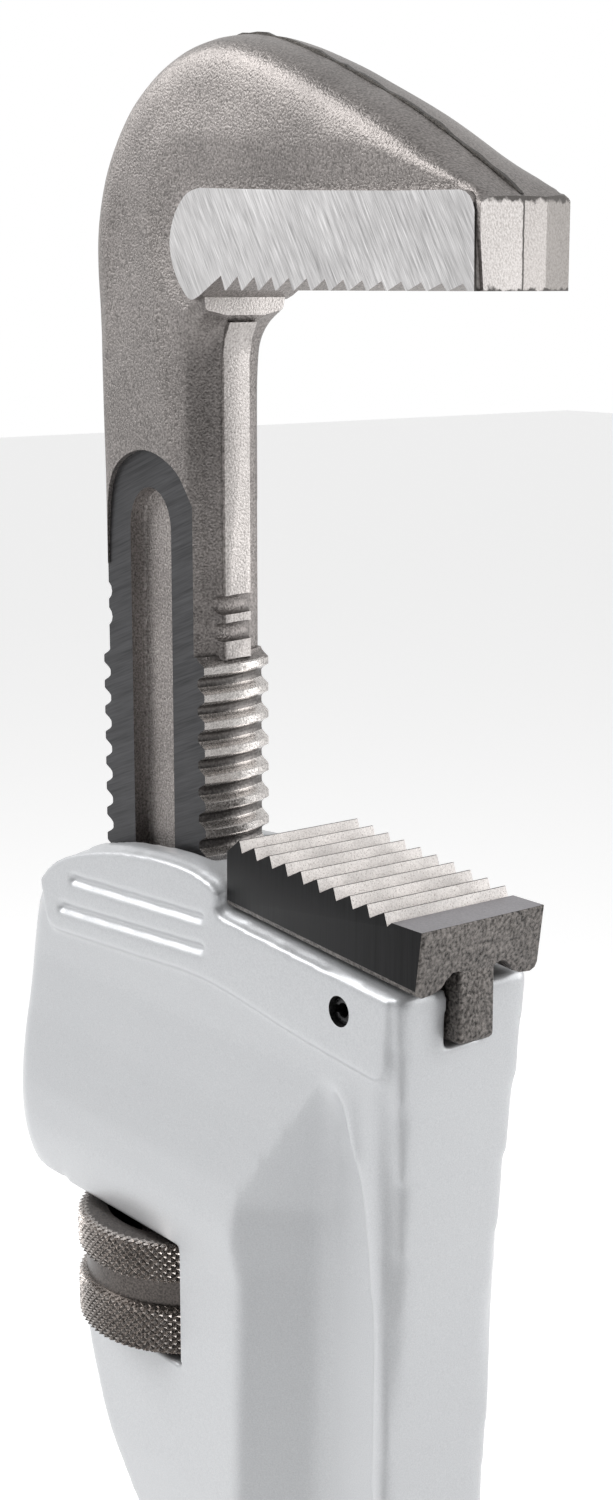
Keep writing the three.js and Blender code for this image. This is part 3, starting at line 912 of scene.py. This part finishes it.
def makeHeelJaw():
    jaw = bar("heelBlock", heelSection(), heel["rear"], 88, heel["seatFall"])
    lean = heel["lean"]
    front = [(heel["front"] + lean * (z + 1.5), z) for z in (40, -40)]
    frontTool = plate("frontTool", front + [(110, -40), (110, 40)], -30, 30)
    combine(jaw, [frontTool, heelComb()], "DIFFERENCE")
    startEdit(jaw, "EDGE")

    def onRim(a, b):
        middle = (a + b) / 2 / mm
        front = abs(a.x - b.x) < 2.5 * mm and middle.x > heel["front"] - 2.2 and middle.z > -14
        corner = abs(abs(middle.y) - heel["half"]) < 0.01 and abs(middle.x - heel["rear"]) < 0.01
        return front and abs(a.x / mm - heel["front"]) < 2.2 or corner

    pick(jaw, "EDGE", onRim)
    bpy.ops.mesh.bevel(offset=heel["wear"] * mm, segments=2)
    endEdit()
    stem = block("stem", (heel["rear"], -heel["stem"], heel["stemLow"]),
                 (heel["stemFront"], heel["stem"], -6))
    startEdit(stem, "EDGE")
    pick(stem, "EDGE", lambda a, b: (a + b).z / 2 < (heel["stemLow"] + 1) * mm)
    bpy.ops.mesh.bevel(offset=0.9 * mm, segments=3)
    pick(stem, "EDGE", lambda a, b: min(a.x, b.x) > (heel["stemFront"] - 1.5) * mm)
    bpy.ops.mesh.bevel(offset=0.3 * mm, segments=2)
    endEdit()
    combine(jaw, [stem], "UNION")
    combine(jaw, [drum("pinBore", 2.5, -10, 10, "Y", casting["pinHole"], 40)], "DIFFERENCE")
    shadeSmooth(jaw, 24)
    dress(jaw, heelForged, heelSide, heelTeeth, heelLand)
    coat(jaw, heelSide, lambda p, n: abs(n.y) > 0.9 and abs(p.y) > heel["half"] - 0.1)
    toothEnd = heel["firstTip"] + heel["pitch"] * (heel["teeth"] - 1) + 2.2
    coat(jaw, heelTeeth, lambda p, n: p.x > heel["firstTip"] - 0.2 and p.x < toothEnd and p.z > -3.5
         and abs(n.y) < 0.3 and abs(n.x) > 0.05)
    coat(jaw, heelForged, lambda p, n: p.x > heel["firstTip"] - 0.2 and p.x < toothEnd and p.z > -3.5
         and n.z > 0.95)
    coat(jaw, heelLand, lambda p, n: n.z > 0.95 and p.x > toothEnd - 1.5 and p.z > -3.5)
    jaw.name = "heelInsert"
    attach(jaw, "handle")
    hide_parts("heel_jaw")
    print("heel jaw made", len(jaw.data.polygons))


# slotted pin through the heel jaw

pin = {"radius": 2.3, "bore": 1.2, "half": 13.5, "slot": 16}


def makePin():
    slot = pin["slot"]
    x, z = casting["pinHole"]
    outline = arc(x, z, pin["radius"], 180 + slot, 540 - slot, 40)
    outline += arc(x, z, pin["bore"], 540 - slot * 1.7, 180 + slot * 1.7, 28)
    body = plate("slottedPin", outline, -pin["half"], pin["half"])
    startEdit(body)
    pick(body, "FACE", lambda p, n: abs(n.y) > 0.9)
    bpy.ops.mesh.bevel(offset=0.22 * mm, segments=2)
    endEdit()
    shadeSmooth(body, 35)
    dress(body, pinSteel)
    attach(body, "handle")
    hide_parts("heel_jaw_pin")
    print("pin made")


# adjusting nut: two knurled bands, a groove and a thread for the shank

nut = {"radius": 21.8, "groove": 20.2, "bands": ((-84.3, -76.6), (-98.5, -89.0)), "columns": 160,
       "rows": (10, 12), "depth": 0.62, "edge": 1.5, "boreRoot": 16.1, "threadGap": 0.35}


def knurledBand(name, low, high, rows):
    deselectAll()
    bpy.ops.mesh.primitive_circle_add(vertices=nut["columns"], radius=(nut["radius"] - nut["edge"]) * mm,
                                      fill_type="NGON", location=at(0, 0, low))
    band = settle(bpy.context.object, name)
    startEdit(band)
    bpy.ops.mesh.select_all(action="SELECT")
    size = nut["radius"] - nut["edge"]
    levels = [(0.12, 0.55), (0.38, 0.22), (0.8, 0.06)]
    body = [(0.8 + (high - low - 1.6) * k / (rows - 2), 0) for k in range(1, rows - 2)]
    steps = levels + body + [(high - low - up, cut) for up, cut in reversed(levels)]
    z = 0
    for up, cut in steps:
        radius = nut["radius"] - cut * nut["edge"]
        bpy.ops.mesh.extrude_region_move(TRANSFORM_OT_translate={"value": (0, 0, (up - z) * mm)})
        grow = radius / size
        bpy.ops.transform.resize(value=(grow, grow, 1), center_override=at(0, 0, low + up))
        z, size = up, radius
    bpy.ops.mesh.extrude_region_move(TRANSFORM_OT_translate={"value": (0, 0, (high - low - z) * mm)})
    radius = nut["radius"] - nut["edge"]
    bpy.ops.transform.resize(value=(radius / size, radius / size, 1), center_override=at(0, 0, high))
    heights = [up for up, cut in steps]

    def valley(p, n):
        up = p.z / mm - low
        row = min(range(len(heights)), key=lambda k: abs(heights[k] - up))
        onSide = heights[0] - 0.05 < up < heights[-1] + 0.05
        column = round(math.atan2(p.y, p.x) / (2 * math.pi) * nut["columns"])
        return onSide and (row + column) % 2 == 0

    bpy.ops.mesh.select_mode(type="VERT")
    pick(band, "VERT", valley)
    shrink = 1 - nut["depth"] / nut["radius"]
    bpy.ops.transform.resize(value=(shrink, shrink, 1), center_override=at(0, 0, 0))
    bpy.ops.mesh.select_mode(type="FACE")
    pick(band, "FACE", lambda p, n: abs(n.z) < 0.9 or math.hypot(p.x, p.y) > 1 * mm)
    bpy.ops.mesh.quads_convert_to_tris(quad_method="SHORTEST_DIAGONAL")
    endEdit()
    return closeUp(band)


def makeNut():
    (low1, high1), (low2, high2) = nut["bands"]
    body = knurledBand("knurledNut", low1, high1, nut["rows"][0])
    lower = knurledBand("lowerBand", low2, high2, nut["rows"][1])
    waist = drum("waist", nut["groove"], high2 - 1, low1 + 1, "Z", (0, 0), 96)
    combine(body, [lower, waist], "UNION")
    crest, gap = thread["crest"] + nut["threadGap"], nut["threadGap"]
    root = nut["boreRoot"]
    profile = [(root - 2, -2.3), (root - 0.1, -2.3), (root + 0.5, -1.7 - gap * 0.3),
               (crest, -0.75 - gap * 0.4)]
    profile += [(r, -z) for r, z in reversed(profile)]
    turns = 7
    # the same thread line as the shank's, picked up below the nut
    below = math.ceil((thread["crestFront"] - low2 + 2) / thread["pitch"])
    start = thread["crestFront"] - (below - 0.25) * thread["pitch"]
    groove = helix("nutThread", profile, thread["pitch"], start, turns, 72)
    bore = drum("nutBore", root, low2 - 3, high1 + 3, "Z", (0, 0), 96)
    combine(body, [groove, bore], "DIFFERENCE")
    shadeSmooth(body, 25)
    dress(body, knurlSteel, grooveSteel)
    coat(body, grooveSteel, lambda p, n: math.hypot(p.x, p.y) < nut["groove"] + 0.05)
    body.name = "knurledNut"
    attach(body, "nut")
    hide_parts("adjusting_nut")
    print("nut made", len(body.data.polygons))


# springs that hold the hook jaw back, and the rivet between them

spring = {"z": -38, "radius": 4.6, "wire": 0.9, "turns": 5, "pocketEnd": 36, "stripRear": 18,
          "stripThick": 1.2, "stripHalf": 5.5, "stripTop": -14, "stripLow": -70, "gap": 0.3}


def makeSprings():
    rear, thick = spring["stripRear"], spring["stripThick"]
    wire, turns = spring["wire"], spring["turns"]
    x0 = rear + thick + wire + spring["gap"]
    run = spring["pocketEnd"] - wire - spring["gap"] - x0
    deselectAll()
    bpy.ops.mesh.primitive_circle_add(vertices=14, radius=wire * mm, fill_type="NOTHING",
                                      location=at(x0, 0, spring["z"] + spring["radius"] - wire),
                                      rotation=(0, 0, 0))
    coil = bpy.context.object
    bpy.ops.transform.rotate(value=math.pi / 2, orient_axis="X", center_override=coil.location)
    settle(coil, "coilSpring")
    bpy.context.scene.cursor.location = at(x0, 0, spring["z"])
    activate(coil)
    bpy.ops.object.origin_set(type="ORIGIN_CURSOR")
    useModifier(coil, "SCREW", angle=2 * math.pi, screw_offset=run / turns * mm, iterations=turns, steps=36,
                render_steps=36, axis="X")
    settle(coil, "coilSpring")
    startEdit(coil, "VERT")
    bpy.ops.mesh.select_all(action="SELECT")
    bpy.ops.mesh.remove_doubles(threshold=0.01 * mm)
    bpy.ops.mesh.select_all(action="DESELECT")
    bpy.ops.mesh.select_non_manifold()
    bpy.ops.mesh.edge_face_add()
    endEdit()
    closeUp(coil)
    shadeSmooth(coil, 50)
    dress(coil, springSteel)
    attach(coil, "handle")
    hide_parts("coil_spring")
    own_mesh(coil)

    top, low = spring["stripTop"], spring["stripLow"]
    line = through([(rear + 1, top), (rear, top - 5), (rear, spring["z"]), (rear, low + 5),
                    (rear + 1, low)], 6)
    strip = plate("flatSpring", line + [(x + thick, z) for x, z in reversed(line)], -spring["stripHalf"],
                  spring["stripHalf"])
    startEdit(strip)
    pick(strip, "FACE", lambda p, n: abs(n.y) > 0.9)
    bpy.ops.mesh.bevel(offset=0.25 * mm, segments=2)
    endEdit()
    combine(strip, [drum("rivetHole", 1.55, 10, 30, "X", (0, spring["z"]), 32)], "DIFFERENCE")
    shadeSmooth(strip, 35)
    dress(strip, springSteel)
    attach(strip, "spring_strip")
    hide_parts("flat_spring")

    rivet = drum("springRivet", 1.3, rear + 0.1, rear + thick + 2.4, "X", (0, spring["z"]), 32)
    collar = drum("rivetCollar", 2.3, rear + thick + 0.3, rear + thick + 1.3, "X", (0, spring["z"]), 32)
    combine(rivet, [collar], "UNION")
    startEdit(rivet)
    pick(rivet, "FACE", lambda p, n: abs(n.x) > 0.9)
    bpy.ops.mesh.bevel(offset=0.15 * mm, segments=2)
    endEdit()
    shadeSmooth(rivet, 35)
    dress(rivet, springSteel)
    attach(rivet, "spring_strip")
    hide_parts("spring_rivet")
    print("springs made")


makeHandle()
makeHookJaw()
makeHeelJaw()
makePin()
makeNut()
makeSprings()

# stage, light and camera

def makeStage():
    deselectAll()
    bpy.ops.mesh.primitive_plane_add(size=14, location=(0, 0, cadBox[0].z))
    floor = bpy.context.object
    floor.name = "floor"
    material, nodes = newMaterial("paleFloor")[:2]
    shader = nodes["Principled BSDF"]
    shader.inputs["Roughness"].default_value = 0.8
    shader.inputs["Base Color"].default_value = (0.9, 0.9, 0.9, 1)
    shader.inputs["Emission Color"].default_value = (1, 1, 1, 1)
    shader.inputs["Emission Strength"].default_value = 0.33
    dress(floor, material)


def areaLight(name, spot, target, size, power):
    deselectAll()
    bpy.ops.object.light_add(type="AREA", location=spot)
    lamp = bpy.context.object
    lamp.name = name
    lamp.data.shape = "RECTANGLE"
    lamp.data.size, lamp.data.size_y = size
    lamp.data.energy = power
    aim = Vector(target) - Vector(spot)
    lamp.rotation_euler = aim.to_track_quat("-Z", "Y").to_euler()


def makeCamera():
    eye = {"spot": (0.30586, -0.22816, 0.56985), "azimuth": 51.96, "elevation": 11.95, "lens": 52.945}
    deselectAll()
    bpy.ops.object.camera_add(location=eye["spot"])
    camera = bpy.context.object
    turn = math.radians(90 - eye["elevation"]), 0, math.radians(eye["azimuth"])
    camera.rotation_euler = turn
    camera.data.sensor_width = 36
    camera.data.lens = eye["lens"]
    camera.data.clip_start = 0.01
    bpy.context.scene.camera = camera


def makeWorld():  # a pale room, brightest behind the tool
    world = bpy.data.worlds.new("studio")
    bpy.context.scene.world = world
    world.use_nodes = True
    nodes, links = world.node_tree.nodes, world.node_tree.links
    coords = nodes.new("ShaderNodeTexCoord")
    facing = nodes.new("ShaderNodeVectorMath")
    facing.operation = "DOT_PRODUCT"
    facing.inputs[1].default_value = (-0.77, 0.6, 0.1)
    links.new(coords.outputs["Generated"], facing.inputs[0])
    glow = spread(nodes, links, facing.outputs["Value"], 0, 1, -0.3, 0.75)
    shade = ramp(nodes, links, glow,
                 [(0.0, (0.2, 0.2, 0.2)), (0.55, (0.72, 0.72, 0.72)), (1.0, (1.0, 1.0, 1.0))])
    links.new(shade.outputs["Color"], nodes["Background"].inputs["Color"])
    nodes["Background"].inputs["Strength"].default_value = 1.0


makeStage()
makeWorld()
areaLight("keyLight", (-0.8, -0.75, 1.25), (0.02, 0, 0.45), (0.8, 0.8), 15)
areaLight("sideLight", (0.75, 0.95, 0.85), (0.02, 0, 0.45), (0.5, 1.2), 10)
bpy.context.scene.view_settings.view_transform = "Standard"
makeCamera()
